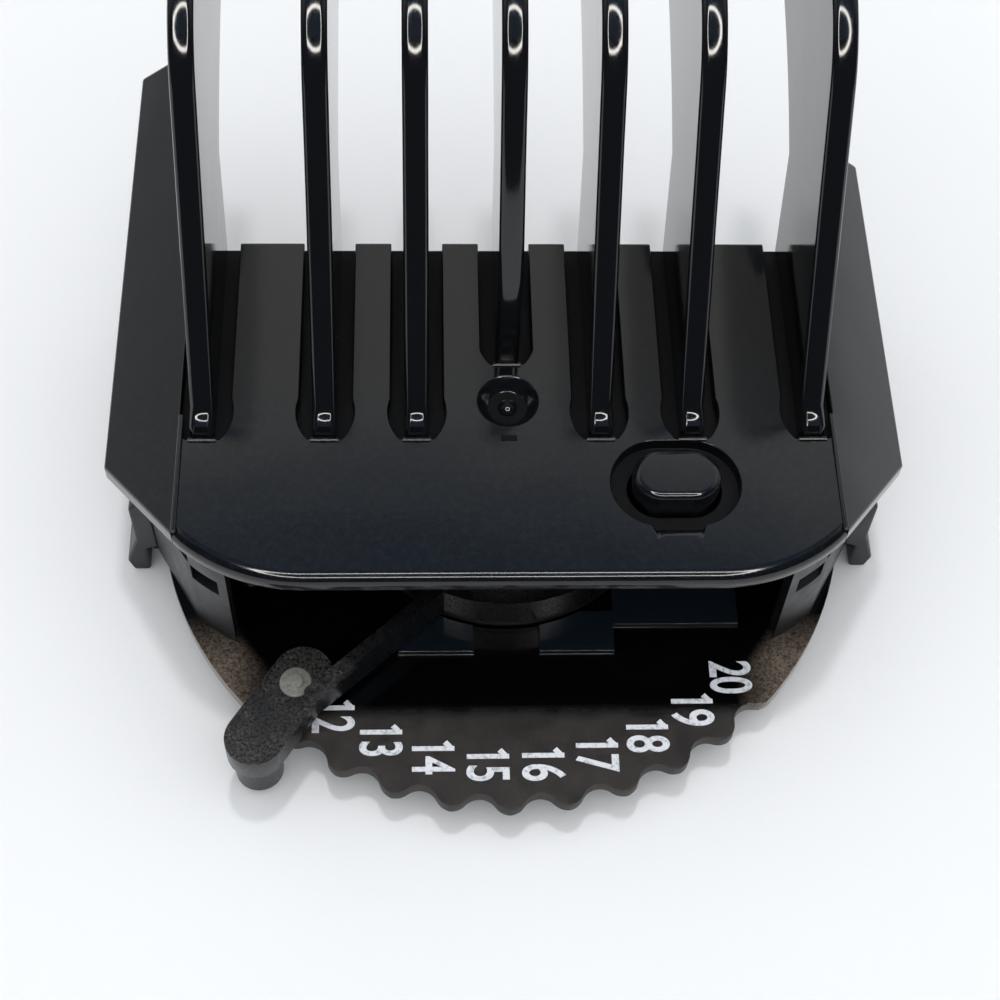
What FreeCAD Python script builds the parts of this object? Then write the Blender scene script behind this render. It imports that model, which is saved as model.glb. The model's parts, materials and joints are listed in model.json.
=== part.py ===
"""Adjustable comb attachment of a hair clipper, in millimetres.

The lever turns about +Z at X = Y = 0.  +X is to the right, +Y runs from the numbered front edge
towards the tips of the teeth, and Z = 0 is the surface that the attachment rests on.  The base
(frame, numbered sector plate, cheeks) carries the lever, whose two ramps lift the comb straight up.
"""
import FreeCAD, Part
import math
import os
import re
import Sketcher

doc = FreeCAD.newDocument("clipper_comb")

# ---------------------------------------------------------------- driving dimensions
SIZES = {
    # comb cover
    "plate_top": 14.0, "plate_thick": 1.2, "plate_half_width": 20.2,
    "plate_front": 12.7, "plate_back": 12.6, "front_half_length": 12.3,
    "corner_radius": 11.35, "corner_end": 9.5,
    "wing_reach": 5.1, "wing_drop": 4.0, "wing_front": 2.3, "left_wing_back": 31.0,
    "right_wing_back": 23.0,
    "bowl_radius": 1.9, "bowl_depth": 0.8,
    # teeth
    "tooth_width": 1.5, "tooth_pitch": 5.65, "outer_tooth": 18.75,
    "tooth_foot": 2.8, "middle_foot_back": 5.6, "tooth_step": 0.9, "facet_length": 1.75,
    "facet_height": 1.05, "tooth_rise": 16.85, "tooth_run": 10.05, "nose_height": 3.9, "nose_run": 6.9,
    "nose_radius": 8.0, "back_radius": 21.0, "inner_radius": 34.0,
    "tip_back": 33.0, "tip_height": 27.0, "tip_thick": 1.6, "tooth_depth": 11.5,
    "groove_width": 3.3, "groove_depth": 0.9, "groove_rim": 0.3,
    "groove_flare": 3.0, "middle_flare": 1.1, "groove_round": 3.2,
    # numbered base
    "floor_thick": 1.8, "sector_thick": 1.0, "sector_radius": 22.5, "scallop_depth": 0.9,
    "bar_front": 7.0, "bar_back": 6.6, "bar_half_width": 20.2, "bar_step": 2.4,
    "arm_inset": 1.4, "arm_lip": 0.8,
    "land_half_width": 6.9, "land_front": 11.9, "land_height": 0.4, "land_notch": 2.1,
    "land_step": 1.9, "land_end": 15.0,
    "cheek_gap": 1.2, "cheek_thick": 1.2, "cheek_start": 17.2, "cheek_end": 18.0,
    "cheek_clear": 0.6, "cheek_inset": 0.6, "cheek_bend": 0.3,
    "window_width": 1.7, "window_height": 1.6, "window_drop": 3.6,
    "clip_front": 4.0, "clip_length": 6.0, "clip_thick": 1.1, "clip_top": 8.2, "clip_flare": 0.3,
    # lever and cam
    "click_count": 9, "click_angle": 9.5, "click_lift": 1.0,
    "post_radius": 2.0, "run_gap": 0.05, "seat_gap": 0.2,
    "drum_base": 0.5, "drum_radius": 8.7, "ramp_width": 3.0, "ramp_root": 0.3, "hub_height": 4.6,
    "collar_wall": 1.25, "collar_height": 2.5, "arm_width": 0.8, "arm_height": 2.8,
    "pad_start": 17.4, "pad_width": 3.7, "pad_thick": 1.9, "lever_reach": 26.2,
    "pad_lean": 8.0, "arm_lean": 6.5, "lever_lead": 1.6,
    "rim_gap": 0.4, "tab_bottom": 0.7, "tab_inset": 0.35, "rivet_place": 20.0, "rivet_radius": 1.0,
    # followers, guides and springs
    "follower_inset": 1.6, "follower_radius": 0.9, "follower_gap": 0.35,
    "guide_place": 16.6, "guide_width": 2.6, "guide_length": 4.6, "guide_bottom": 0.6,
    "guide_gap": 0.1, "socket_wall": 1.1, "socket_clear": 0.6,
    "spring_place": 11.8, "spring_back": 4.6, "spring_radius": 1.3, "spring_wire": 0.35,
    "spring_turns": 7, "spring_gap": 0.05,
    # button
    "button_across": 10.05, "button_forward": 6.0, "button_length": 5.4, "button_width": 3.5,
    "button_proud": 1.1, "button_gap": 0.2, "button_travel": 1.0, "rim_width": 1.3,
    "stem_radius": 1.0, "flange_radius": 2.35, "flange_thick": 0.5, "cage_gap": 0.2,
    "cage_wall": 0.5, "cage_depth": 3.5, "coil_radius": 1.7, "coil_wire": 0.25, "coil_turns": 3,
    # fasteners
    "screw_radius": 0.8, "screw_head": 1.3, "screw_head_thick": 0.7, "screw_forward": 5.2,
    "screw_recess": 0.3,
    "washer_gap": 1.2, "washer_lip": 1.2, "washer_thick": 0.5, "cap_thick": 1.2,
    "post_flange": 3.4, "post_flange_thick": 0.9,
}

sizes = doc.addObject("Spreadsheet::Sheet", "sizes")
for row, (alias, number) in enumerate(SIZES.items(), start=1):
    sizes.set(f"A{row}", alias.replace("_", " "))
    sizes.set(f"B{row}", str(number))
    sizes.setAlias(f"B{row}", alias)
doc.recompute()

# Places that follow from the driving dimensions, as rules in the same names.
RULES = {
    "plate_bottom": "(plate_top - plate_thick)",
    "sector_top": "(floor_thick + sector_thick)",
    "drum_bottom": "(floor_thick + sector_thick + seat_gap)",
    "valley": "(floor_thick + sector_thick + seat_gap + drum_base)",
    "half_sweep": "(click_count * click_angle / 2)",
    "lever_rest": "(click_count * click_angle / 2 - lever_lead)",
    "lift": "(click_count * click_lift)",
    "collar_outer": "(drum_radius + run_gap + collar_wall)",
    "cheek_outer": "(plate_half_width + cheek_gap + cheek_thick)",
    "arm_outer": "(plate_half_width + cheek_gap + cheek_thick + arm_lip)",
    "arm_inner": "(plate_half_width + cheek_gap - arm_inset)",
    "ramp_inner": "(drum_radius - ramp_width)",
    "follower_place": "(drum_radius - follower_inset)",
    "washer_radius": "(drum_radius - ramp_width - ramp_root - washer_gap)",
    "cap_radius": "(drum_radius - ramp_width - ramp_root - washer_gap - washer_lip)",
    "hub_top": "(floor_thick + sector_thick + seat_gap + hub_height)",
    "wing_outer": "(plate_half_width + wing_reach)",
}


def rule(text):
    """A rule in plain size names, written out as the document's expressions need it."""
    while any(re.search(rf"\b{name}\b", text) for name in RULES):
        for name, meaning in RULES.items():
            text = re.sub(rf"\b{name}\b", meaning, text)
    return re.sub(r"[a-z_]+", lambda word: "sizes." + word.group() if word.group() in SIZES
                  else word.group(), text)


def value(text):
    """The present value of a rule, for sketches' first guesses and shapes made by code."""
    return float(sizes.evalExpression(rule(text)))


# ---------------------------------------------------------------- small modelling helpers
def place(item, x="0", y="0", z="0", angle=None):
    for axis, text in (("x", x), ("y", y), ("z", z)):
        item.setExpression(f"Placement.Base.{axis}", rule(text))
    if angle:
        item.setExpression("Placement.Rotation.Angle", rule(angle))
    return item


def block(name, x, y, z, length, width, height):
    """A box from its lowest corner."""
    item = doc.addObject("Part::Box", name)
    item.setExpression("Length", rule(length))
    item.setExpression("Width", rule(width))
    item.setExpression("Height", rule(height))
    return place(item, x, y, z)


def round_bar(name, radius, height, x="0", y="0", z="0"):
    item = doc.addObject("Part::Cylinder", name)
    item.setExpression("Radius", rule(radius))
    item.setExpression("Height", rule(height))
    return place(item, x, y, z)


def joined(name, *pieces):
    item = doc.addObject("Part::MultiFuse", name)
    item.Shapes = list(pieces)
    item.Refine = True
    return item


def cut(name, base, *tools):
    """The base with every tool taken out of it."""
    item = doc.addObject("Part::Cut", name)
    item.Base = base
    item.Tool = tools[0] if len(tools) == 1 else joined(name + "_tools", *tools)
    return item


def ring(name, inner, outer, height, z):
    return cut(name, round_bar(name + "_outer", outer, height, z=z),
               round_bar(name + "_inner", inner, height, z=z))


def origin_plane(body, role):
    return next(item for item in body.Origin.OriginFeatures if item.Role == role)


def outline(body, name, role, points, offset="0"):
    """A closed sketch through points given as rules; a third entry is the radius of the arc that
    arrives at the point, positive where the arc bends to the left."""
    sketch = body.newObject("Sketcher::SketchObject", name)
    sketch.AttachmentSupport = (origin_plane(body, role), "")
    sketch.MapMode = "FlatFace"
    sketch.setExpression("AttachmentOffset.Base.z", rule(offset))
    corners = [FreeCAD.Vector(value(point[0]), value(point[1]), 0) for point in points]
    for index, point in enumerate(points):
        start, end = corners[index - 1], corners[index]
        if len(point) == 2:
            sketch.addGeometry(Part.LineSegment(start, end))
            continue
        radius = value(point[2])
        chord = end - start
        side = FreeCAD.Vector(-chord.y, chord.x, 0).normalize() * math.copysign(1, radius)
        bulge = abs(radius) - math.sqrt(radius ** 2 - (chord.Length / 2) ** 2)
        sketch.addGeometry(Part.Arc(start, (start + end) / 2 - side * bulge, end))
    count = len(points)
    ends = [end_of(sketch, index, corners[index]) for index in range(count)]
    starts = [3 - end for end in ends]
    for index in range(count):
        after = (index + 1) % count
        sketch.addConstraint(Sketcher.Constraint("Coincident", index, ends[index],
                                                 after, starts[after]))
    for index, point in enumerate(points):
        for kind, text, now in (("DistanceX", point[0], corners[index].x),
                                ("DistanceY", point[1], corners[index].y)):
            number = sketch.addConstraint(Sketcher.Constraint(kind, -1, 1, index, ends[index], now))
            sketch.setExpression(f"Constraints[{number}]", rule(text))
        if len(point) == 3:
            number = sketch.addConstraint(Sketcher.Constraint("Radius", index, abs(value(point[2]))))
            sketch.setExpression(f"Constraints[{number}]", rule(f"abs({point[2]})"))
    return sketch


def end_of(sketch, index, corner):
    """Which end of a sketch line or arc lies at the corner: 1 its start, 2 its end."""
    return 1 if sketch.getPoint(index, 1).distanceToPoint(corner) < 1e-6 else 2


def ring_sketch(body, name, role, x, y, radius, offset="0"):
    """A sketch of one circle."""
    sketch = body.newObject("Sketcher::SketchObject", name)
    sketch.AttachmentSupport = (origin_plane(body, role), "")
    sketch.MapMode = "FlatFace"
    sketch.setExpression("AttachmentOffset.Base.z", rule(offset))
    centre = FreeCAD.Vector(value(x), value(y), 0)
    sketch.addGeometry(Part.Circle(centre, FreeCAD.Vector(0, 0, 1), value(radius)))
    for kind, text, now in (("DistanceX", x, centre.x), ("DistanceY", y, centre.y)):
        number = sketch.addConstraint(Sketcher.Constraint(kind, -1, 1, 0, 3, now))
        sketch.setExpression(f"Constraints[{number}]", rule(text))
    number = sketch.addConstraint(Sketcher.Constraint("Radius", 0, value(radius)))
    sketch.setExpression(f"Constraints[{number}]", rule(radius))
    return sketch


def pad(body, name, sketch, length, both_ways=False):
    feature = body.newObject("PartDesign::Pad", name)
    feature.Profile = sketch
    feature.setExpression("Length", rule(length))
    feature.SideType = "Symmetric" if both_ways else "One side"
    return feature


def pocket(body, name, sketch, length):
    feature = body.newObject("PartDesign::Pocket", name)
    feature.Profile = sketch
    feature.setExpression("Length", rule(length))
    return feature


def turned(name, points):
    """A body turned about Z from a half section of (radius, height) points."""
    body = doc.addObject("PartDesign::Body", name)
    sketch = outline(body, name + "_section", "XZ_Plane", points)
    doc.recompute()
    feature = body.newObject("PartDesign::Revolution", name + "_turn")
    feature.Profile = sketch
    feature.ReferenceAxis = (sketch, ["V_Axis"])
    feature.Angle = 360
    return body


def coil(name, radius, wire, turns, bottom, top, across, back):
    """A helical spring about an upright line, whose wire stays between two heights."""
    item = doc.addObject("Part::Feature", name)
    thick, mean = value(wire), value(radius)
    height = value(top) - value(bottom) - thick
    helix = Part.makeHelix(height / value(turns), height, mean)
    section = Part.Wire(Part.makeCircle(thick / 2, FreeCAD.Vector(mean, 0, 0),
                                        FreeCAD.Vector(0, 1, 0)))
    item.Shape = Part.Wire(helix.Edges).makePipeShell([section], True, True)
    item.Placement.Base = FreeCAD.Vector(across, back, value(bottom) + thick / 2)
    return item


# ---------------------------------------------------------------- comb cover
TEETH = [("tooth_1", "-outer_tooth"), ("tooth_2", "-2 * tooth_pitch"), ("tooth_3", "-tooth_pitch"),
         ("tooth_4", "0"), ("tooth_5", "tooth_pitch"), ("tooth_6", "2 * tooth_pitch"),
         ("tooth_7", "outer_tooth")]


def foot_back(name):
    """How far the foot of a tooth starts behind that of the others."""
    return "middle_foot_back" if name == "tooth_4" else "0"


def comb_plate():
    body = doc.addObject("PartDesign::Body", "comb_plate")
    face = outline(body, "plate_outline", "XY_Plane", [
        ("plate_half_width", "plate_back"), ("-plate_half_width", "plate_back"),
        ("-plate_half_width", "-corner_end"),
        ("-front_half_length", "-plate_front", "corner_radius"),
        ("front_half_length", "-plate_front"),
        ("plate_half_width", "-corner_end", "corner_radius")], "plate_bottom")
    pad(body, "plate_pad", face, "plate_thick")
    doc.recompute()
    for name, across in TEETH:
        front = f"({foot_back(name)} - tooth_foot)"
        flare = "middle_flare" if name == "tooth_4" else "groove_flare"
        narrow, wide = "(tooth_width / 2 + groove_rim)", "(groove_width / 2)"
        groove = outline(body, name + "_groove_outline", "XY_Plane", [
            (f"{across} - {narrow}", front, "groove_round"), (f"{across} + {narrow}", front),
            (f"{across} + {wide}", f"{front} + {flare}", "groove_round"),
            (f"{across} + {wide}", "plate_back + 1"), (f"{across} - {wide}", "plate_back + 1"),
            (f"{across} - {wide}", f"{front} + {flare}")], "plate_top")
        pocket(body, name + "_groove", groove, "groove_depth")
        doc.recompute()
    bowl = ring_sketch(body, "bowl_outline", "XY_Plane", "0", "0", "bowl_radius", "plate_top")
    sink = pocket(body, "bowl", bowl, "bowl_depth")
    sink.TaperAngle = -40
    doc.recompute()
    for tag, grow, deep in (("rim", "rim_width", "groove_depth"),
                            ("hole", "button_gap", "plate_thick + 1")):
        straight = "(button_length - button_width) / 2"
        half = f"(button_width / 2 + {grow})"
        left, right = f"button_across - {straight}", f"button_across + {straight}"
        low, high = f"-button_forward - {half}", f"-button_forward + {half}"
        shape = outline(body, f"button_{tag}_outline", "XY_Plane", [
            (f"{right}", low), (f"{right} + {half}", "-button_forward", half),
            (f"{right}", high, half), (f"{left}", high),
            (f"{left} - {half}", "-button_forward", half), (f"{left}", low, half)], "plate_top")
        pocket(body, f"button_{tag}", shape, deep)
        doc.recompute()
    return body


def wing(name, side, back):
    """A sloping side of the cover, from the plate's edge down to its outer edge."""
    body = doc.addObject("PartDesign::Body", name)
    inner, outer = f"{side} * plate_half_width", f"{side} * wing_outer"
    section = outline(body, name + "_section", "XZ_Plane", [
        (inner, "plate_top"), (inner, "plate_bottom"), (outer, "plate_bottom - wing_drop"),
        (outer, "plate_top - wing_drop")], f"-{back}")
    pad(body, name + "_pad", section, f"{back} + corner_end")
    doc.recompute()
    past = f"{side} * (wing_outer + 1)"
    slope = "(corner_end - wing_front) / wing_reach"
    corner = outline(body, name + "_corner_outline", "XY_Plane", [
        (inner, "-corner_end"), (past, f"-corner_end + {slope} * (wing_reach + 1)"),
        (past, "-corner_end - 1"), (inner, "-corner_end - 1")], "plate_top + 1")
    pocket(body, name + "_corner", corner, "plate_top + 1")
    return body


def tooth(name, across):
    """One blade: a foot on the plate, a straight slope, a rounded nose and a curved tip.  The
    middle one starts further back and rises upright to the same slope."""
    body = doc.addObject("PartDesign::Body", name)
    back = foot_back(name)
    front = f"({back} - tooth_foot)"
    slope_top = "(-tooth_foot + facet_length + tooth_run)"
    top = "(plate_top + facet_height + tooth_rise)"
    groove = "plate_top - groove_depth"
    points = [
        (front, groove), ("plate_back", groove),
        (f"{slope_top} + tooth_depth / 2", f"{top} - tooth_depth"),
        ("tip_back - tip_thick", "tip_height - tip_thick", "-inner_radius"),
        ("tip_back", "tip_height", "tip_thick"),
        (f"{slope_top} + nose_run", f"{top} + nose_height", "back_radius"),
        (slope_top, top, "nose_radius")]
    if name == "tooth_4":
        upright = "(middle_foot_back + tooth_step / 3 - facet_length)"
        points.append((f"{front} + tooth_step / 3",
                       f"plate_top + facet_height + {upright} * tooth_rise / tooth_run"))
    else:
        points += [("-tooth_foot + facet_length", "plate_top + facet_height"),
                   (f"{front} + tooth_step / 3", "plate_top + tooth_step")]
    profile = outline(body, name + "_profile", "YZ_Plane", points)
    pad(body, name + "_pad", profile, "tooth_width", both_ways=True)
    place(body, across)
    return body


def follower_peg(name, side):
    """A round peg under the plate with a dome that rides on its ramp."""
    place_x = f"{side} * follower_place"
    low = "(valley + follower_gap)"
    dome = doc.addObject("Part::Sphere", name + "_dome")
    dome.setExpression("Radius", rule("follower_radius"))
    place(dome, place_x, "0", f"{low} + follower_radius")
    bar = round_bar(name + "_bar", "follower_radius", f"plate_bottom - {low} - follower_radius",
                    place_x, "0", f"{low} + follower_radius")
    return joined(name, bar, dome)


def guide_leg(name, side):
    """A flat leg under the plate that slides in its socket in the base."""
    return block(name, f"{side} * guide_place - guide_width / 2", "-guide_length / 2",
                 "guide_bottom", "guide_width", "guide_length", "plate_bottom - guide_bottom")


# ---------------------------------------------------------------- numbered base
def leg_hole(name, side, grow):
    """The space round a guide leg, grown on every side."""
    return block(name, f"{side} * guide_place - guide_width / 2 - {grow}",
                 f"-guide_length / 2 - {grow}", "-1", f"guide_width + 2 * {grow}",
                 f"guide_length + 2 * {grow}", "plate_top")


def base_frame():
    """A cross bar under the pivot and two arms that leave the middle open towards +Y."""
    bar = block("frame_bar", "-bar_half_width", "-bar_front", "0", "2 * bar_half_width",
                "bar_front + bar_back", "floor_thick")
    shoulders = block("frame_shoulders", "-arm_outer", "-bar_step", "0", "2 * arm_outer",
                      "bar_step + bar_back", "floor_thick")
    arms = [block(f"frame_arm_{tag}", low, "bar_back", "0", "arm_outer - arm_inner",
                  "cheek_end - bar_back", "sector_top")
            for tag, low in (("left", "-arm_outer"), ("right", "arm_inner"))]
    tools = [round_bar("frame_bore", "post_radius + run_gap", "floor_thick"),
             round_bar("frame_counterbore", "post_flange + run_gap", "post_flange_thick")]
    tools += [leg_hole(f"frame_leg_hole_{side}", side, "guide_gap") for side in (-1, 1)]
    tools += [round_bar(f"frame_screw_hole_{side}", "screw_radius", "floor_thick",
                        f"{side} * guide_place", "-screw_forward") for side in (-1, 1)]
    return cut("base_frame", joined("frame_solid", bar, shoulders, *arms), *tools)


def sector_plate():
    """The numbered half disc, scalloped along its front at every setting, with a low front land."""
    body = doc.addObject("PartDesign::Body", "sector_disc")
    face = outline(body, "sector_outline", "XY_Plane", [
        ("sector_radius", "0", "sector_radius"), ("cheek_outer", "0"),
        ("cheek_outer", "bar_back"), ("-cheek_outer", "bar_back"), ("-cheek_outer", "0"),
        ("-sector_radius", "0"),
        ("0", "-sector_radius", "sector_radius")], "floor_thick")
    pad(body, "sector_pad", face, "sector_thick")
    doc.recompute()
    half = "(sector_radius * sin(click_angle / 2))"
    edge = "(sector_radius * cos(click_angle / 2))"
    wave = f"(({half}^2 + scallop_depth^2) / (4 * scallop_depth))"
    round_cut = outline(body, "scallop_outline", "XY_Plane", [
        (f"-{half}", "-sector_radius - 1"), (half, "-sector_radius - 1"), (half, f"-{edge}"),
        (f"{half} / 2", f"-{edge} + scallop_depth / 2", f"-{wave}"),
        (f"-{half} / 2", f"-{edge} + scallop_depth / 2", wave),
        (f"-{half}", f"-{edge}", f"-{wave}")], "sector_top")
    round_cut.setExpression("AttachmentOffset.Rotation.Angle", rule("-half_sweep"))
    first = pocket(body, "scallop", round_cut, "sector_thick")
    doc.recompute()
    pattern = body.newObject("PartDesign::PolarPattern", "scallops")
    pattern.Originals = [first]
    pattern.Axis = (next(item for item in body.Origin.OriginFeatures if item.Role == "Z_Axis"), [""])
    pattern.setExpression("Angle", rule("2 * half_sweep"))
    pattern.setExpression("Occurrences", rule("click_count + 1"))
    body.Tip = pattern
    lands = [block("land_left", "-land_half_width", "-land_front", "sector_top",
                   "land_half_width - land_notch", "land_step + 1", "land_height"),
             block("land_right", "land_notch", "-land_front", "sector_top",
                   "land_half_width - land_notch", "land_step + 1", "land_height"),
             block("land_side", "land_half_width", "-land_front + land_step", "sector_top",
                   "land_end - land_half_width", "1.5 * land_step", "land_height")]
    tools = [round_bar("sector_bore", "post_radius + run_gap", "sector_top"),
             round_bar("land_round", "collar_outer + seat_gap", "land_height", z="sector_top")]
    tools += [leg_hole(f"sector_leg_hole_{side}", side, "guide_gap") for side in (-1, 1)]
    tools += [round_bar(f"sector_screw_hole_{side}", "screw_radius", "sector_top",
                        f"{side} * guide_place", "-screw_forward") for side in (-1, 1)]
    return cut("sector_plate", joined("sector_solid", body, *lands), *tools)


def cheek(name, side):
    """A thin wall from the front corner back along one arm, with a small window at the corner."""
    centre_y = "(-plate_front + corner_radius)"

    def on_corner(inset):
        share = f"(1 - ({inset}) / corner_radius)"
        return (f"{side} * (front_half_length + (plate_half_width - front_half_length) * {share})",
                f"{centre_y} - (corner_end + {centre_y}) * {share}")

    def on_start(inset):
        reach = "(cheek_start - front_half_length)"
        return (f"{side} * cheek_start",
                f"{centre_y} - sqrt((corner_radius - ({inset}))^2 - {reach}^2)")

    thick = "cheek_inset + cheek_thick"
    bend = f"{'' if side > 0 else '-'}(corner_radius - cheek_inset)"
    inner_bend = f"{'-' if side > 0 else ''}(corner_radius - cheek_inset - cheek_thick)"
    body = doc.addObject("PartDesign::Body", name + "_wall")
    face = outline(body, name + "_outline", "XY_Plane", [
        on_start("cheek_inset"), (*on_corner("cheek_inset"), bend),
        (f"{side} * cheek_outer", "-wing_front - cheek_gap - cheek_inset"),
        (f"{side} * cheek_outer", "cheek_end"),
        (f"{side} * (cheek_outer - cheek_thick)", "cheek_end"),
        (f"{side} * (cheek_outer - cheek_thick)", "-wing_front - cheek_gap - cheek_inset + cheek_bend"),
        on_corner(thick), (*on_start(thick), inner_bend)], "sector_top")
    pad(body, name + "_pad", face, "plate_bottom - cheek_clear - sector_top")
    low_top = ("(plate_bottom - wing_drop * (cheek_outer - plate_half_width) / wing_reach"
               " - cheek_clear)")
    length = "cheek_outer"
    step = block(name + "_step", "plate_half_width - cheek_inset" if side > 0
                 else f"-(plate_half_width - cheek_inset) - {length}", "-plate_front", low_top,
                 length, "plate_front + cheek_end + 1", "plate_top")
    window = block(name + "_window", "cheek_start + cheek_thick / 2" if side > 0
                   else "-cheek_start - cheek_thick / 2 - window_width", "-plate_front",
                   "plate_bottom - window_drop - window_height / 2", "window_width", "plate_front / 2",
                   "window_height")
    return cut(name, body, step, window)


def guide_socket(name, side):
    """A square sleeve that keeps a guide leg upright."""
    wall = "(guide_gap + socket_wall)"
    sleeve = block(name + "_sleeve", f"{side} * guide_place - guide_width / 2 - {wall}",
                   f"-guide_length / 2 - {wall}", "sector_top", f"guide_width + 2 * {wall}",
                   f"guide_length + 2 * {wall}", "plate_bottom - socket_clear - sector_top")
    return cut(name, sleeve, leg_hole(name + "_hole", side, "guide_gap"))


def side_clip(name, side):
    """A springy leg outside a cheek; its flared toe reaches the floor."""
    body = doc.addObject("PartDesign::Body", name)
    near, out = "cheek_outer", "(arm_outer + run_gap)"
    section = outline(body, name + "_section", "XZ_Plane", [
        (f"{side} * {near}", "clip_top"), (f"{side} * {near}", "sector_top + seat_gap"),
        (f"{side} * {out}", "sector_top - seat_gap"), (f"{side} * {out}", "0"),
        (f"{side} * ({out} + clip_thick)", "0"),
        (f"{side} * ({out} + clip_thick + clip_flare)", "clip_thick"),
        (f"{side} * ({out} + clip_thick / 2)", "sector_top + clip_thick"),
        (f"{side} * ({out} + clip_thick / 2)", "clip_top - clip_thick / 2"),
        (f"{side} * {out}", "clip_top")], "clip_front - clip_length")
    pad(body, name + "_pad", section, "clip_length")
    return body


# ---------------------------------------------------------------- pivot and fasteners
def pivot_post():
    top = "hub_top + seat_gap / 2"
    return turned("pivot_post", [
        ("0", "0"), ("post_flange", "0"), ("post_flange", "post_flange_thick"),
        ("post_radius", "post_flange_thick"), ("post_radius", top), ("screw_radius", top),
        ("screw_radius", "sector_top"), ("0", "sector_top")])


def pivot_washer():
    return ring("pivot_washer", "screw_radius", "washer_radius", "washer_thick",
                "hub_top + seat_gap / 2")


def pivot_screw():
    under = "(hub_top + seat_gap / 2 + washer_thick)"
    return turned("pivot_screw", [
        ("0", "sector_top"), ("screw_radius", "sector_top"), ("screw_radius", under),
        ("cap_radius", under), ("cap_radius", f"{under} + cap_thick / 2"),
        ("cap_radius * 0.8", f"{under} + cap_thick"), ("0", f"{under} + cap_thick")])


def sector_screws():
    """Two screws that hold the sector plate to the frame, kept in one node."""
    bars = []
    for side in (-1, 1):
        where = (f"{side} * guide_place", "-screw_forward")
        shank = round_bar(f"sector_screw_shank_{side}", "screw_radius", "sector_top - screw_recess",
                          *where, "screw_recess")
        head = round_bar(f"sector_screw_head_{side}", "screw_head", "screw_head_thick",
                         *where, "sector_top")
        bars.append(joined(f"sector_screw_{side}", shank, head))
    return joined("sector_screws", *bars)


# ---------------------------------------------------------------- lever and cam
RAMP_START = 0.001      # the least height of a ramp's first section, so that it is never flat


def ramp(name, start):
    """A spiral slope that climbs the whole lift over the lever's sweep, then runs level."""
    item = doc.addObject("Part::Feature", name)
    click, count = value("click_angle"), int(value("click_count"))
    inner, outer = value("ramp_inner - ramp_root"), value("drum_radius")
    low, lift, over = value("drum_bottom"), value("lift"), 2
    sections = []
    for index in range(count + over + 1):
        turn = math.radians(start - click * index)
        top = value("valley") + lift * min(index, count) / count + RAMP_START
        ray = FreeCAD.Vector(math.cos(turn), math.sin(turn), 0)
        corners = [ray * inner, ray * outer, ray * outer, ray * inner]
        heights = [low, low, top, top]
        points = [FreeCAD.Vector(at.x, at.y, height) for at, height in zip(corners, heights)]
        sections.append(Part.makePolygon(points + points[:1]))
    item.Shape = Part.makeLoft(sections, True, True)
    return item


def cam_drum():
    """The hub with a flange and two ramps, one under each follower peg."""
    hub = round_bar("drum_hub", "ramp_inner", "hub_height", z="drum_bottom")
    flange = round_bar("drum_flange", "collar_outer", "drum_base", z="drum_bottom")
    solid = joined("drum_solid", hub, flange, ramp("ramp_right", 0), ramp("ramp_left", 180))
    return cut("cam_drum", solid, round_bar("drum_bore", "post_radius + run_gap", "plate_top"))


def lean_about_rivet(item, angle):
    """Turns a piece of the lever about the rivet, so that the lever is slightly bent there."""
    item.setExpression("Placement.Rotation.Angle", rule(angle))
    item.setExpression("Placement.Base.x", rule(f"-rivet_place * sin({angle})"))
    item.setExpression("Placement.Base.y", rule(f"rivet_place * (cos({angle}) - 1)"))
    return item


def adjusting_lever():
    """Collar, upright arm, rounded pad and a finger tab that hangs over the scalloped rim."""
    collar = ring("lever_collar", "drum_radius + run_gap", "collar_outer", "collar_height", "valley")
    bar = block("lever_arm_bar", "pad_width / 2 - arm_width", "-rivet_place", "valley",
                "arm_width", "rivet_place - (collar_outer - collar_wall)", "arm_height")
    bar_end = round_bar("lever_arm_end", "arm_width / 2", "arm_height",
                        "(pad_width - arm_width) / 2", "-rivet_place", "valley")
    arm = lean_about_rivet(joined("lever_arm", bar, bar_end), "-arm_lean")
    middle = "(lever_reach - pad_width / 2)"
    pad_bar = block("lever_pad", "-pad_width / 2", f"-{middle}", "valley", "pad_width",
                    f"{middle} - pad_start - pad_width / 2", "pad_thick")
    ends = [round_bar(f"lever_pad_end_{tag}", "pad_width / 2", "pad_thick", "0", where, "valley")
            for tag, where in (("far", f"-{middle}"), ("near", "-pad_start - pad_width / 2"))]
    tab = round_bar("lever_tab_round", "pad_width / 2 - tab_inset", "valley - tab_bottom", "0",
                    f"-{middle}", "tab_bottom")
    leaning = lean_about_rivet(joined("lever_leaning", pad_bar, *ends, tab), "pad_lean")
    outer = cut("lever_outer", leaning, round_bar("lever_tab_clear", "sector_radius + rim_gap",
                                                  "valley - tab_bottom", z="tab_bottom"))
    inside = cut("lever_arm_trimmed", arm, round_bar("lever_arm_clear", "drum_radius + run_gap",
                                                     "valley + arm_height"))
    solid = joined("lever_solid", collar, inside, outer)
    lever = cut("adjusting_lever", solid, rivet_hole())
    lever.setExpression("Placement.Rotation.Angle", rule("-lever_rest"))
    return lever


def rivet_hole():
    return round_bar("rivet_hole", "rivet_radius", "pad_thick", "0", "-rivet_place",
                     "valley + pad_thick / 4")


def pad_rivet():
    """The small round insert in the pad."""
    low = "valley + pad_thick / 4"
    rivet = joined("pad_rivet",
                   round_bar("rivet_bar", "rivet_radius", "0.8 * pad_thick", "0", "-rivet_place", low),
                   round_bar("rivet_nub", "rivet_radius / 2", "0.9 * pad_thick", "0",
                             "-rivet_place", low))
    rivet.setExpression("Placement.Rotation.Angle", rule("-lever_rest"))
    return rivet


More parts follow.
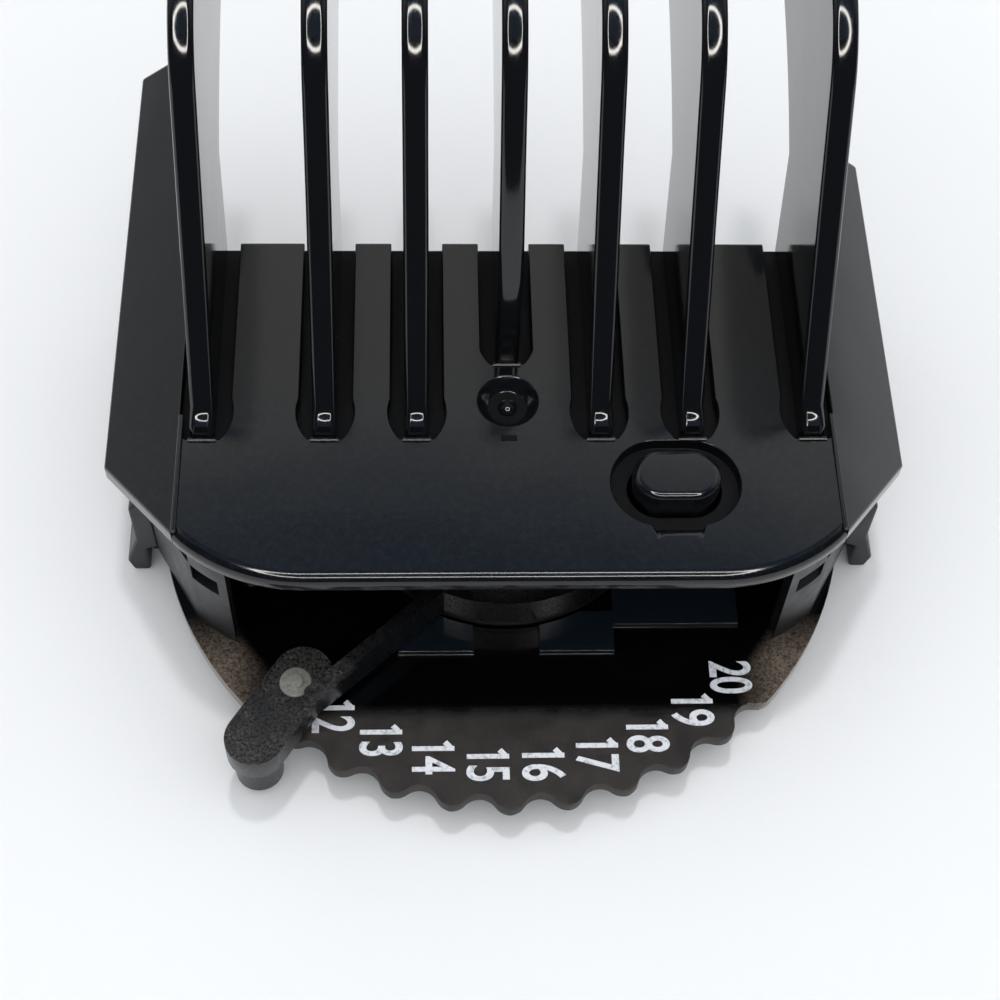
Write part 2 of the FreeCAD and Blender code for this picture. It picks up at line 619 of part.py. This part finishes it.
# ---------------------------------------------------------------- button
def release_button():
    """An obround cap with a flange that the plate keeps in, and a short stem below."""
    straight = "(button_length - button_width) / 2"
    low = "(plate_bottom - cage_gap)"
    body = doc.addObject("PartDesign::Body", "button_cap")
    half = "(button_width / 2)"
    left, right = f"button_across - {straight}", f"button_across + {straight}"
    front, back = f"-button_forward - {half}", f"-button_forward + {half}"
    face = outline(body, "button_cap_outline", "XY_Plane", [
        (right, front), (f"{right} + {half}", "-button_forward", half), (right, back, half),
        (left, back), (f"{left} - {half}", "-button_forward", half), (left, front, half)], low)
    pad(body, "button_cap_pad", face, f"plate_top + button_proud - {low}")
    where = ("button_across", "-button_forward")
    flange = round_bar("button_flange", "flange_radius", "flange_thick", *where,
                       f"{low} - flange_thick")
    stem = round_bar("button_stem", "stem_radius", "button_travel", *where,
                     f"{low} - flange_thick - button_travel")
    return joined("release_button", body, flange, stem)


def button_cage():
    """The cup under the plate that holds the button's spring."""
    where = ("button_across", "-button_forward")
    low = "(plate_bottom - cage_depth)"
    inner = "(button_length / 2 + cage_gap)"
    return cut("button_cage",
               round_bar("cage_outer", f"{inner} + cage_wall", "cage_depth", *where, low),
               round_bar("cage_inner", inner, "cage_depth", *where, f"{low} + cage_wall"))


def button_spring():
    return coil("button_spring", "coil_radius", "coil_wire", "coil_turns",
                "plate_bottom - cage_depth + cage_wall", "plate_bottom - cage_gap - flange_thick",
                value("button_across"), -value("button_forward"))


def return_spring(name, side):
    return coil(name, "spring_radius", "spring_wire", "spring_turns", "sector_top + spring_gap",
                "plate_bottom - spring_gap", side * value("spring_place"), value("spring_back"))


# ---------------------------------------------------------------- the assembly
pieces = [base_frame(), sector_plate(), pivot_post(), pivot_washer(), pivot_screw(),
          sector_screws(), cam_drum(), adjusting_lever(), pad_rivet(), comb_plate(),
          release_button(), button_cage(), button_spring()]
for tag, side in (("left", -1), ("right", 1)):
    pieces += [cheek(f"{tag}_cheek", side), guide_socket(f"{tag}_guide_socket", side),
               side_clip(f"{tag}_clip", side), wing(f"{tag}_wing", side, f"{tag}_wing_back"),
               follower_peg(f"{tag}_follower_peg", side), guide_leg(f"{tag}_guide_leg", side),
               return_spring(f"{tag}_return_spring", side)]
pieces += [tooth(name, across) for name, across in TEETH]

doc.recompute()
for item in doc.Objects:
    if {"Invalid", "Error"} & set(item.State):
        raise RuntimeError(f"{item.Label} failed: {item.State}")

os.makedirs("parts", exist_ok=True)
for item in pieces:
    if item.Shape.isNull() or not item.Shape.isValid() or item.Shape.Volume < 0.01:
        raise RuntimeError(f"{item.Label} is not a sound solid")
    item.Shape.exportStep(f"parts/{item.Label}.step")
    print(f"{item.Label:24s} {len(item.Shape.Solids)} solid(s) {item.Shape.Volume:9.2f} mm3")
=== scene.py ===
"""Adjustable comb attachment of a hair clipper: its fine shapes, finishes, floor, light and camera.

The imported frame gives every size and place.  +Y runs from the numbered front edge to the tips of
the teeth and +Z is up.
"""
import json
import math

import bmesh
import bpy
from mathutils import Matrix, Vector


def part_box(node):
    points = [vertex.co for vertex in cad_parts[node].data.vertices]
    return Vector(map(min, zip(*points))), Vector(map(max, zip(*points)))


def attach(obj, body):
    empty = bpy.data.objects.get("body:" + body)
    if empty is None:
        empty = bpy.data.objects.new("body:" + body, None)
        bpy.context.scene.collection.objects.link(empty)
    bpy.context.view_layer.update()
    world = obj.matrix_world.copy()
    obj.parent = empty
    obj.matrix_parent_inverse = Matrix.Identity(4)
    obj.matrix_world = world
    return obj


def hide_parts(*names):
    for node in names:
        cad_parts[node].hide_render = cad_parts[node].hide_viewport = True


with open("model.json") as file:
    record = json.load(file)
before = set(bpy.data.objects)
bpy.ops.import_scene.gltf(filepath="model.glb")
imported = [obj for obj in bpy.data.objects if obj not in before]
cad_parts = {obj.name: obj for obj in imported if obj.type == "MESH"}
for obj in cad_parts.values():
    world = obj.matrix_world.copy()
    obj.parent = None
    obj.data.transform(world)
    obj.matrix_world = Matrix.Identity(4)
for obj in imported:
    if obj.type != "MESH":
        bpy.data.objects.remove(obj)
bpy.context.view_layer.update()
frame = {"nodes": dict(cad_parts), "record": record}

MM = 0.001
BODY_OF = {node: body for body, nodes in frame["record"]["behaviour"]["bodies"].items()
           for node in nodes}
SLOT_OF = {node: item.material_slots[0].name for node, item in frame["nodes"].items()}


# ------------------------------------------------------------------------------- shader writing
class Signal:
    """A shader socket that sums can be written on."""

    def __init__(self, board, socket):
        self.board = board
        self.socket = socket

    def maths(self, operation, first, second):
        return self.board.node("ShaderNodeMath", {"operation": operation}, {0: first, 1: second})

    def __add__(self, other):
        return self.maths("ADD", self, other)

    def __mul__(self, other):
        return self.maths("MULTIPLY", self, other)

    def __rsub__(self, other):
        return self.maths("SUBTRACT", other, self)


def socket_called(sockets, name):
    """Finds a socket by its number, or by its identifier where several share a name."""
    if isinstance(name, int):
        return sockets[name]
    same = [socket for socket in sockets if socket.identifier == name]
    return same[0] if same else sockets[name]


class Board:
    """A shader node tree that nodes are added to."""

    def __init__(self, tree):
        self.tree = tree

    def node(self, kind, settings=None, values=None, output=0):
        """Adds a node: its settings first, then the numbers or signals of its sockets."""
        node = self.tree.nodes.new(kind)
        for name, setting in (settings or {}).items():
            setattr(node, name, setting)
        for name, number in (values or {}).items():
            if isinstance(number, Signal):
                self.tree.links.new(number.socket, socket_called(node.inputs, name))
            else:
                socket_called(node.inputs, name).default_value = number
        return Signal(self, socket_called(node.outputs, output))

    def along(self, axis, vector):
        """One coordinate of a vector signal."""
        return self.node("ShaderNodeSeparateXYZ", values={0: vector}, output=axis)

    def spread(self, signal, low, high, start=0.35, end=0.65):
        """Moves a signal between start and end to the range from low to high."""
        return self.node("ShaderNodeMapRange", values={
            "Value": signal, "From Min": start, "From Max": end, "To Min": low, "To Max": high})

    def colours(self, factor, low, high):
        """Goes from one colour, or coloured signal, to another as the factor rises."""
        first, second = (colour if isinstance(colour, Signal) else (*colour, 1)
                         for colour in (low, high))
        return self.node("ShaderNodeMix", {"data_type": "RGBA"}, {
            "Factor_Float": factor, "A_Color": first, "B_Color": second}, "Result_Color")


class Finish(Board):
    """One material: a Principled shader with the nodes that feed it."""

    def __init__(self, name, **constants):
        self.material = bpy.data.materials.new(name)
        self.material.use_nodes = True
        super().__init__(self.material.node_tree)
        self.shader = self.tree.nodes["Principled BSDF"]
        for socket, number in constants.items():
            self.shader.inputs[socket.replace("_", " ")].default_value = number
        self.place = self.node("ShaderNodeTexCoord", output="Object")

    def feed(self, name, signal):
        self.tree.links.new(signal.socket, self.shader.inputs[name])

    def noise(self, grain, detail=2.0, roughness=0.5):
        """Cloudy values from 0 to 1, whose clouds are about one grain across, in metres."""
        return self.node("ShaderNodeTexNoise", values={
            "Vector": self.place, "Scale": 1 / grain, "Detail": detail, "Roughness": roughness},
            output="Fac")

    def relief(self, height, depth, under=None):
        """A bump whose full height is depth, in metres, laid over another."""
        values = {"Height": height, "Distance": depth, "Strength": 1.0}
        if under:
            values["Normal"] = under
        return self.node("ShaderNodeBump", values=values)


# ------------------------------------------------------------------------------------- finishes
def gloss_black():
    """Glossy moulded black plastic with a fine skin and a slightly uneven surface."""
    finish = Finish("gloss_black", IOR=1.5)
    skin = finish.noise(0.12 * MM, 3.0, 0.7)
    sag = finish.noise(9 * MM, 1.0, 0.4)
    dust = finish.noise(0.5 * MM, 4.0, 0.8)
    finish.feed("Base Color", finish.colours(finish.spread(dust, 0.0, 1.0, 0.45, 0.75),
                                             (0.0035, 0.0042, 0.0055), (0.010, 0.011, 0.013)))
    finish.feed("Roughness", finish.spread(skin, 0.09, 0.15))
    finish.feed("Normal", finish.relief(skin, 0.0006 * MM, finish.relief(sag, 0.05 * MM)))
    return finish.material


def slot_shade_and_mark_black():
    """Unpolished floor of the slots round the blades and of the button's recess, with a painted
    shade: its colour is darker than the cover's. The mould's gate mark uses it too.
    """
    finish = Finish("slot_shade_and_mark_black", IOR=1.3)
    grain = finish.noise(0.2 * MM, 3.0, 0.6)
    # Painted shade: the recess floors are coloured darker than the cover around them.
    finish.feed("Base Color", finish.colours(grain, (0.0010, 0.0011, 0.0014),
                                             (0.0025, 0.0027, 0.0032)))
    finish.feed("Roughness", finish.spread(grain, 0.50, 0.65))
    finish.feed("Normal", finish.relief(grain, 0.005 * MM))
    return finish.material


def tooth_black():
    """The same plastic polished smoother on the blades."""
    finish = Finish("tooth_black", IOR=1.5)
    skin = finish.noise(0.2 * MM, 3.0, 0.6)
    sag = finish.noise(4 * MM, 1.0, 0.4)
    finish.feed("Base Color", finish.colours(skin, (0.0030, 0.0035, 0.0045),
                                             (0.0060, 0.0068, 0.0080)))
    finish.feed("Roughness", finish.spread(skin, 0.07, 0.11))
    finish.feed("Normal", finish.relief(skin, 0.0003 * MM, finish.relief(sag, 0.015 * MM)))
    return finish.material


def satin_black():
    """Satin dark plastic of the frame, cheeks and clips."""
    finish = Finish("satin_black", IOR=1.48)
    grain = finish.noise(0.15 * MM, 4.0, 0.7)
    wear_and_glint_patches = finish.noise(2.5 * MM, 3.0, 0.6)
    finish.feed("Base Color", finish.colours(wear_and_glint_patches, (0.0060, 0.0065, 0.0080),
                                             (0.013, 0.0135, 0.015)))
    finish.feed("Roughness", finish.spread(wear_and_glint_patches, 0.34, 0.50))
    finish.feed("Normal", finish.relief(grain, 0.008 * MM))
    return finish.material


def numbered_brown():
    """Warm dark plastic of the numbered plate: grained along the rim, with painted light making the
    two outer tips of the rim paler, and polished under the cover, where a painted shade turns it
    near black and a painted bluish sheen lies on the lands."""
    finish = Finish("numbered_brown", IOR=1.45)
    grain = finish.noise(0.18 * MM, 5.0, 0.75)
    rub = finish.noise(1.6 * MM, 4.0, 0.65)
    across, back, up = (finish.along(axis, finish.place) for axis in "XYZ")
    # Painted shade: where the cover's shadow falls, the plate is coloured near black, and it is
    # also made polished there.
    painted_shade_under_cover = finish.spread(back, 0.0, 1.0, -16.6 * MM, -15.4 * MM)
    # Painted light: the outer tips of the rim beside the cover get a paler, grainy colour, as if
    # lit past the cover's shadow.
    sideways = finish.spread(across * across, 0.0, 1.0, (14.5 * MM) ** 2, (17.5 * MM) ** 2)
    outward = finish.spread(back * back + across * across, 0.0, 1.0, (19.6 * MM) ** 2,
                            (20.4 * MM) ** 2)
    forward = finish.spread(back, 1.0, 0.0, -12.5 * MM, -9 * MM)
    lit_rim_tips = sideways * outward * forward
    # Painted reflection: this picks out the tops of the lands for a bluish sheen in the colour.
    sheen_on_lands = finish.spread(up, 0.0, 1.0, 2.9 * MM, 3.1 * MM)
    rim = finish.colours(finish.spread(rub + grain * 0.5, 0.0, 1.0, 0.55, 1.0),
                         (0.0095, 0.0078, 0.0068), (0.034, 0.029, 0.026))
    painted_light_on_tips = finish.colours(finish.spread(grain, 0.0, 1.0), (0.030, 0.022, 0.016),
                          (0.26, 0.21, 0.165))
    # Painted shade near black under the cover, with a painted bluish sheen on the tops of the
    # lands.
    painted_shade_and_sheen = finish.colours(sheen_on_lands, (0.0012, 0.0013, 0.0016), (0.007, 0.011, 0.016))
    finish.feed("Base Color", finish.colours(lit_rim_tips, finish.colours(painted_shade_under_cover, rim, painted_shade_and_sheen), painted_light_on_tips))
    polish = 0.14
    finish.feed("Roughness", finish.spread(rub, 0.42, 0.62) * (1.0 - painted_shade_under_cover) + painted_shade_under_cover * polish)
    finish.feed("Normal", finish.relief(grain * (1.0 - painted_shade_under_cover), 0.020 * MM))
    return finish.material


def lever_black():
    """Glossy black plastic, with a coarse grain on the top of the thumb pad that carries painted
    glints as pale flecks in its colour.
    """
    finish = Finish("lever_black", IOR=1.5)
    grain = finish.noise(0.20 * MM, 5.0, 0.8)
    wear_and_glint_patches = finish.noise(1.3 * MM, 3.0, 0.7)
    across, back, up = (finish.along(axis, finish.place) for axis in "XYZ")
    outward = finish.spread(across * across + back * back, 0.0, 1.0, (16.9 * MM) ** 2,
                            (17.3 * MM) ** 2)
    on_pad = outward * finish.spread(up, 0.0, 1.0, 5.36 * MM, 5.39 * MM)
    # Painted highlight: pale flecks in the colour stand for glints on the grain of the pad's top,
    # in patches.
    patches = finish.spread(wear_and_glint_patches, 0.15, 1.0, 0.40, 0.62)
    points = finish.spread(grain, 0.0, 1.0, 0.48, 0.66)
    painted_glint_specks = on_pad * patches * points
    finish.feed("Base Color", finish.colours(painted_glint_specks, (0.0040, 0.0042, 0.0048),
                                             (0.13, 0.115, 0.092)))
    finish.feed("Roughness", finish.spread(grain, 0.20, 0.42))
    finish.feed("Normal", finish.relief(grain * on_pad, 0.030 * MM))
    return finish.material


def smoky_grey():
    """Smoky grey satin plastic of the rivet's head."""
    finish = Finish("smoky_grey", IOR=1.5)
    grain = finish.noise(0.25 * MM, 4.0, 0.7)
    finish.feed("Base Color", finish.colours(grain, (0.080, 0.082, 0.074), (0.30, 0.30, 0.26)))
    finish.feed("Roughness", finish.spread(grain, 0.25, 0.45))
    finish.feed("Normal", finish.relief(grain, 0.020 * MM))
    return finish.material


def numeral_white():
    """White pad-printed ink, thin at places."""
    finish = Finish("numeral_white", IOR=1.45)
    patch = finish.noise(0.35 * MM, 3.0, 0.7)
    finish.feed("Base Color", finish.colours(finish.spread(patch, 0.0, 1.0, 0.30, 0.50),
                                             (0.36, 0.38, 0.44), (0.80, 0.82, 0.86)))
    finish.feed("Roughness", finish.spread(patch, 0.55, 0.40))
    return finish.material


def drawn_steel():
    """Bright spring wire and screws with fine drawing marks."""
    finish = Finish("drawn_steel", Metallic=1.0)
    marks = finish.noise(0.12 * MM, 3.0, 0.6)
    finish.feed("Base Color", finish.colours(marks, (0.38, 0.38, 0.39), (0.62, 0.62, 0.63)))
    finish.feed("Roughness", finish.spread(marks, 0.22, 0.40))
    return finish.material


def pale_floor():
    """A plain pale sheet."""
    finish = Finish("pale_floor", Roughness=0.75)
    mottle = finish.noise(30 * MM, 2.0, 0.5)
    finish.feed("Base Color", finish.colours(mottle, (0.86, 0.87, 0.885), (0.89, 0.90, 0.91)))
    return finish.material


GLOSS, TOOTH, SHADE_AND_MARK_BLACK, SATIN = gloss_black(), tooth_black(), slot_shade_and_mark_black(), satin_black()
BROWN, LEVER, GREY = numbered_brown(), lever_black(), smoky_grey()
WHITE, STEEL = numeral_white(), drawn_steel()
FINISH_OF_SLOT = {"comb_black": GLOSS, "frame_black": SATIN, "cam_black": SATIN,
                  "sector_brown": BROWN, "lever_black": LEVER, "insert_grey": GREY,
                  "button_black": GLOSS, "numeral_white": WHITE, "steel": STEEL}


# ----------------------------------------------------------------------------------- mesh tools
def piece_from(bm, name, body, finish):
    """Turns a bmesh into a smooth-shaded piece that rides on a body."""
    mesh = bpy.data.meshes.new(name)
    bm.to_mesh(mesh)
    bm.free()
    mesh.materials.append(finish)
    mesh.shade_smooth()
    mesh.set_sharp_from_angle(angle=math.radians(38))
    piece = bpy.data.objects.new(name, mesh)
    bpy.context.scene.collection.objects.link(piece)
    even = piece.modifiers.new("even_shading", "WEIGHTED_NORMAL")
    even.keep_sharp = True
    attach(piece, body)
    return piece


def whole_copy(node):
    """A merged copy of a CAD node whose flat faces are single faces again."""
    bm = bmesh.new()
    bm.from_mesh(frame["nodes"][node].data)
    bmesh.ops.remove_doubles(bm, verts=bm.verts, dist=1e-7)
    bmesh.ops.dissolve_limit(bm, angle_limit=math.radians(0.3), verts=bm.verts, edges=bm.edges)
    return bm


def ease(bm, radius, segments, where=lambda middle: True, clamp=True):
    """Rounds the sharp edges whose middle passes a test."""
    least = math.radians(28)
    edges = [edge for edge in bm.edges if len(edge.link_faces) == 2
             and edge.calc_face_angle() > least
             and where((edge.verts[0].co + edge.verts[1].co) / 2)]
    bmesh.ops.bevel(bm, geom=edges, offset=radius, offset_type="OFFSET", segments=segments,
                    profile=0.5, affect="EDGES", clamp_overlap=clamp, material=-1)


def softened(node, *eases):
    """Stands for a CAD node with its edges rounded.

    Each ease is a radius and a number of segments, then its test of the edge's middle and whether
    its overlaps are clamped.
    """
    bm = whole_copy(node)
    for settings in eases:
        ease(bm, *settings)
    slot = SLOT_OF[node]
    piece = piece_from(bm, node + "_fine", BODY_OF[node], FINISH_OF_SLOT[slot])
    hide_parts(node)
    return piece


# --------------------------------------------------------------------------------------- pieces
def comb_cover():
    """The cover with its slots, small marks, ribs, wings and blades."""
    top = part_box("comb_plate")[1].z
    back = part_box("comb_plate")[1].y
    near, rounded_front = 0.05 * MM, -9 * MM

    def on_front_rim(at):
        return at.z > top - near and at.y < rounded_front

    def on_back_rim(at):
        return at.z > top - near and at.y > back - near

    plate = softened("comb_plate", (0.7 * MM, 6, on_front_rim, False),
                     (0.3 * MM, 4, on_back_rim, False), (0.08 * MM, 2))
    plate.data.materials.append(SHADE_AND_MARK_BLACK)
    deepest, shallowest = 1.0 * MM, 0.5 * MM
    # Painted shade: faces at the depth of the slot floors take the darker second material.
    for face in plate.data.polygons:
        if face.normal.z > 0.9 and top - deepest < face.center.z < top - shallowest:
            face.material_index = 1
    bowl_nub()
    gate_mark()
    foot_beads()
    for side in (-1, 1):
        edge_rib(side)
    for side in ("left", "right"):
        outer_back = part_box(f"{side}_wing")[1].y - 1 * MM
        softened(f"{side}_wing", (1.8 * MM, 6, lambda at: at.y > outer_back), (0.22 * MM, 3))
    for number in range(1, 8):
        blade(f"tooth_{number}")


def blade(node):
    """A tooth whose narrow faces are crowned across and rounded at both edges."""
    crown, edge, cuts = 3.4 * MM, 0.30 * MM, 11
    flat_share = 0.625      # of the half width's cuts; the others go round the edge
    low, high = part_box(node)
    middle, half = (low.x + high.x) / 2, (high.x - low.x) / 2
    flat = half - edge
    bm = whole_copy(node)
    side = next(face for face in bm.faces if face.normal.x > 0.99)
    inward = {}
    for loop in side.loops:
        before, after = loop.link_loop_prev.vert.co, loop.link_loop_next.vert.co
        at = loop.vert.co
        arriving, leaving = (at - before).normalized(), (after - at).normalized()
        bend = Vector((1, 0, 0)).cross((arriving + leaving).normalized())
        mitre = max(0.5, math.cos(arriving.angle(leaving) / 2))
        inward[round(at.y, 7), round(at.z, 7)] = bend / mitre
    crosswise = [line for line in bm.edges
                 if abs(abs(line.verts[0].co.x - line.verts[1].co.x) - 2 * half) < 1e-6]
    bmesh.ops.subdivide_edges(bm, edges=crosswise, cuts=cuts, use_grid_fill=True)
    for vert in bm.verts:
        share = (vert.co.x - middle) / half
        across = math.copysign(min(abs(share) / flat_share, 1.0), share) * flat
        past = max(0.0, (abs(share) - flat_share) / (1 - flat_share)) * math.pi / 2
        depth = crown - math.sqrt(crown ** 2 - across ** 2) + edge * (1 - math.cos(past))
        vert.co += inward[round(vert.co.y, 7), round(vert.co.z, 7)] * depth
        vert.co.x = middle + across + math.copysign(edge * math.sin(past), share)
    piece = piece_from(bm, node + "_fine", BODY_OF[node], TOOTH)
    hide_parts(node)


def foot_beads():
    """Small half-round beads where the feet of the blades meet the cover."""
    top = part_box("comb_plate")[1].z
    radius, overhang, inset = 0.2 * MM, 0.2 * MM, 0.05 * MM
    bm = bmesh.new()
    for number in range(1, 8):
        low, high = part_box(f"tooth_{number}")
        made = bmesh.ops.create_cone(bm, cap_ends=True, segments=20, radius1=radius,
                                     radius2=radius, depth=high.x - low.x + overhang)["verts"]
        bmesh.ops.rotate(bm, matrix=Matrix.Rotation(math.pi / 2, 3, "Y"), verts=made)
        bmesh.ops.translate(bm, vec=((low.x + high.x) / 2, low.y - inset, top - inset),
                            verts=made)
    piece_from(bm, "foot_beads", "comb", TOOTH)


def gate_mark():
    """The small flat mark that the mould left in front of the bowl."""
    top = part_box("comb_plate")[1].z
    bm = bmesh.new()
    bmesh.ops.create_cube(bm, size=1)
    bmesh.ops.scale(bm, vec=(1.0 * MM, 0.4 * MM, 0.06 * MM), verts=bm.verts)
    bmesh.ops.translate(bm, vec=(0, -2.75 * MM, top), verts=bm.verts)
    piece_from(bm, "gate_mark", "comb", SHADE_AND_MARK_BLACK)


def bowl_nub():
    """The small dome left by the moulding gate in the middle of the bowl."""
    floor_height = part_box("comb_plate")[1].z - 0.8 * MM
    bm = bmesh.new()
    bmesh.ops.create_uvsphere(bm, u_segments=32, v_segments=16, radius=0.62 * MM)
    bmesh.ops.scale(bm, vec=(1, 1, 0.8), verts=bm.verts)
    bmesh.ops.translate(bm, vec=(0, 0, floor_height), verts=bm.verts)
    piece_from(bm, "bowl_nub", "comb", TOOTH)


def edge_rib(side):
    """A thin raised line between the plate and a wing, from the outer blade to the corner."""
    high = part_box("comb_plate")[1]
    front, back = -9.4 * MM, -1.0 * MM
    wide, tall, inset = 0.34 * MM, 0.24 * MM, 0.12 * MM
    bm = bmesh.new()
    bmesh.ops.create_cube(bm, size=1)
    bmesh.ops.scale(bm, vec=(wide, back - front, tall), verts=bm.verts)
    bmesh.ops.translate(bm, vec=(side * (high.x - inset), (front + back) / 2, high.z),
                        verts=bm.verts)
    ease(bm, 0.11 * MM, 4)
    piece_from(bm, f"edge_rib_{'left' if side < 0 else 'right'}", "comb", GLOSS)


def numbered_base():
    """The numbered plate, the frame, and on each side a cheek, a clip and a socket."""
    softened("sector_plate", (0.14 * MM, 3))
    softened("base_frame", (0.25 * MM, 3))
    for side in ("left", "right"):
        softened(f"{side}_cheek", (0.12 * MM, 2))
        softened(f"{side}_clip", (0.2 * MM, 3))
        softened(f"{side}_guide_socket", (0.12 * MM, 2))


def lever_and_cam():
    """The lever, whose thumb pad is rounder than its arm, its cam and its rivet."""
    pad_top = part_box("pad_rivet")[1].z - 0.1 * MM
    pad_start, rim_height = 15 * MM, 0.4 * MM

    def on_pad(at):
        return math.hypot(at.x, at.y) > pad_start and at.z > pad_top - rim_height

    softened("adjusting_lever", (0.5 * MM, 4, on_pad), (0.15 * MM, 3))
    softened("cam_drum", (0.10 * MM, 2))
    softened("pad_rivet", (0.10 * MM, 3))


def button():
    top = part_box("release_button")[1].z
    softened("release_button", (0.45 * MM, 4, lambda at: at.z > top - 0.05 * MM), (0.08 * MM, 2))


def numerals():
    """The settings 11 to 20 on the numbered plate, each one beside its notch."""
    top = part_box("sector_plate")[1].z - 0.4 * MM
    step, first = math.radians(10.04), math.radians(-44.49)
    place, apart = 19.6 * MM, 1.14 * MM
    for index in range(10):
        bm = bmesh.new()
        for digit, side in zip(str(11 + index), (-1, 1)):
            mesh = digit_mesh(digit)
            mesh.transform(Matrix.Translation((side * apart / 2, 0, 0)))
            bm.from_mesh(mesh)
        turn = first + index * step
        where = Vector((math.sin(turn) * place, -math.cos(turn) * place, top + 0.03 * MM))
        bmesh.ops.rotate(bm, matrix=Matrix.Rotation(math.radians(-90), 3, "Z"), verts=bm.verts)
        bmesh.ops.translate(bm, vec=where, verts=bm.verts)
        bmesh.ops.remove_doubles(bm, verts=bm.verts, dist=1e-7)
        piece_from(bm, f"numeral_{11 + index}", "base", WHITE)


def digit_mesh(digit):
    """One narrow raised digit, centred; a 1 gets a flag at its top."""
    height, narrow, thick = 2.6 * MM, 0.66, 0.03 * MM
    words = bpy.data.curves.new(f"digit_{digit}", "FONT")
    words.body, words.align_x, words.align_y = digit, "CENTER", "CENTER"
    words.size, words.extrude, words.offset = height / 0.7, thick, 0.05 * MM
    mesh = bpy.data.meshes.new_from_object(bpy.data.objects.new(words.name, words))
    mesh.transform(Matrix.Diagonal((narrow, 1, 1, 1)))
    if digit == "1":
        bm = bmesh.new()
        bm.from_mesh(mesh)
        top = max(vert.co.y for vert in bm.verts)
        made = bmesh.ops.create_cube(bm, size=1)["verts"]
        bmesh.ops.scale(bm, vec=(0.60 * MM, 0.34 * MM, 2.2 * thick), verts=made)
        bmesh.ops.rotate(bm, matrix=Matrix.Rotation(math.radians(42), 3, "Z"), verts=made)
        bmesh.ops.translate(bm, vec=(-0.20 * MM, top - 0.38 * MM, 0), verts=made)
        bm.to_mesh(mesh)
        bm.free()
    return mesh


comb_cover()
numbered_base()
lever_and_cam()
button()
numerals()
for node, item in frame["nodes"].items():
    item.material_slots[0].material = FINISH_OF_SLOT[SLOT_OF[node]]


# ------------------------------------------------------------------------ floor, light, camera
def floor():
    """A large flat sheet at the foot of the object."""
    reach = 2.0
    bm = bmesh.new()
    bmesh.ops.create_grid(bm, x_segments=1, y_segments=1, size=reach)
    mesh = bpy.data.meshes.new("floor")
    bm.to_mesh(mesh)
    bm.free()
    mesh.materials.append(pale_floor())
    sheet = bpy.data.objects.new("floor", mesh)
    bpy.context.scene.collection.objects.link(sheet)


def lamp(name, direction, distance, across, watts):
    """A square soft light that looks at the object from a direction."""
    data = bpy.data.lights.new(name, "AREA")
    data.size, data.energy = across, watts
    light = bpy.data.objects.new(name, data)
    light.location = Vector(direction).normalized() * distance
    light.rotation_euler = (-light.location).to_track_quat("-Z", "Y").to_euler()
    light.visible_glossy = False
    bpy.context.scene.collection.objects.link(light)


def room():
    """A white box: an even glow on matt surfaces, and on gloss its walls and a ring of light."""
    world = bpy.data.worlds.new("room")
    world.use_nodes = True
    world.cycles.sampling_method = "NONE"
    board = Board(world.node_tree)
    bearing = board.node("ShaderNodeTexCoord", output="Generated")
    ahead, up = board.along("Y", bearing), board.along("Z", bearing)

    near_wall, far_wall, panel_glow = (0.03, 0.035, 0.045), (0.34, 0.35, 0.37), (0.90, 0.90, 0.885)
    ceiling_glow, ring_glow, even_strength = (0.13, 0.21, 0.32), (24.0, 23.0, 21.8), 0.98
    high = board.spread(up, 0.0, 1.0, 0.832, 0.860)
    behind = board.spread(ahead, 0.0, 1.0, -0.15, 0.45)
    panel = board.spread(up, 0.0, 1.0, 0.15, 0.60)
    walls = board.colours(behind, near_wall, far_wall)
    lit = board.colours(panel * behind, walls, panel_glow)
    ceiling = board.colours(high, lit, ceiling_glow)

    tilt, radius, half_width = math.radians(24), math.radians(18.5), math.radians(1.8)
    towards = board.node("ShaderNodeVectorMath", {"operation": "DOT_PRODUCT"}, {
        0: bearing, 1: (0, -math.sin(tilt), math.cos(tilt))}, output="Value")
    inner, outer = math.cos(radius - half_width), math.cos(radius + half_width)
    soft = 0.004
    ring = (board.spread(towards, 0.0, 1.0, outer - soft, outer + soft)
            * board.spread(towards, 1.0, 0.0, inner - soft, inner + soft))
    seen = board.colours(ring, ceiling, ring_glow)

    outlet = world.node_tree.nodes["World Output"]
    gloss = board.node("ShaderNodeBackground", values={"Color": seen})
    even = board.node("ShaderNodeBackground", values={"Color": (0.97, 0.985, 1.0, 1),
                                                      "Strength": even_strength})
    is_gloss = board.node("ShaderNodeLightPath", output="Is Glossy Ray")
    mixed = board.node("ShaderNodeMixShader", values={0: is_gloss, 1: even, 2: gloss})
    world.node_tree.links.new(mixed.socket, outlet.inputs["Surface"])
    bpy.context.scene.world = world


def camera():
    """Looks down at the numbered front edge, a little from the left."""
    down, turn, roll = math.radians(58.548), math.radians(4.3), math.radians(3.476)
    place = Vector((-5.168, -67.153, 112.29)) * MM
    ahead = Vector((math.sin(turn) * math.cos(down), math.cos(turn) * math.cos(down),
                    -math.sin(down)))
    right = Vector((math.cos(turn), -math.sin(turn), 0))
    up = right.cross(ahead)
    across = right * math.cos(roll) + up * math.sin(roll)
    upward = up * math.cos(roll) - right * math.sin(roll)
    data = bpy.data.cameras.new("camera")
    data.lens, data.sensor_width = 68.98, 36.0
    data.clip_start = 0.005
    eye = bpy.data.objects.new("camera", data)
    bpy.context.scene.collection.objects.link(eye)
    turned = Matrix((across, upward, -ahead)).transposed()
    eye.matrix_world = Matrix.Translation(place) @ turned.to_4x4()
    bpy.context.scene.camera = eye


floor()
room()
key_tilt = math.radians(14)
lamp("key", (0, math.sin(key_tilt), math.cos(key_tilt)), distance=1.0, across=0.08, watts=2.0)
camera()
bpy.context.scene.view_settings.view_transform = "Standard"
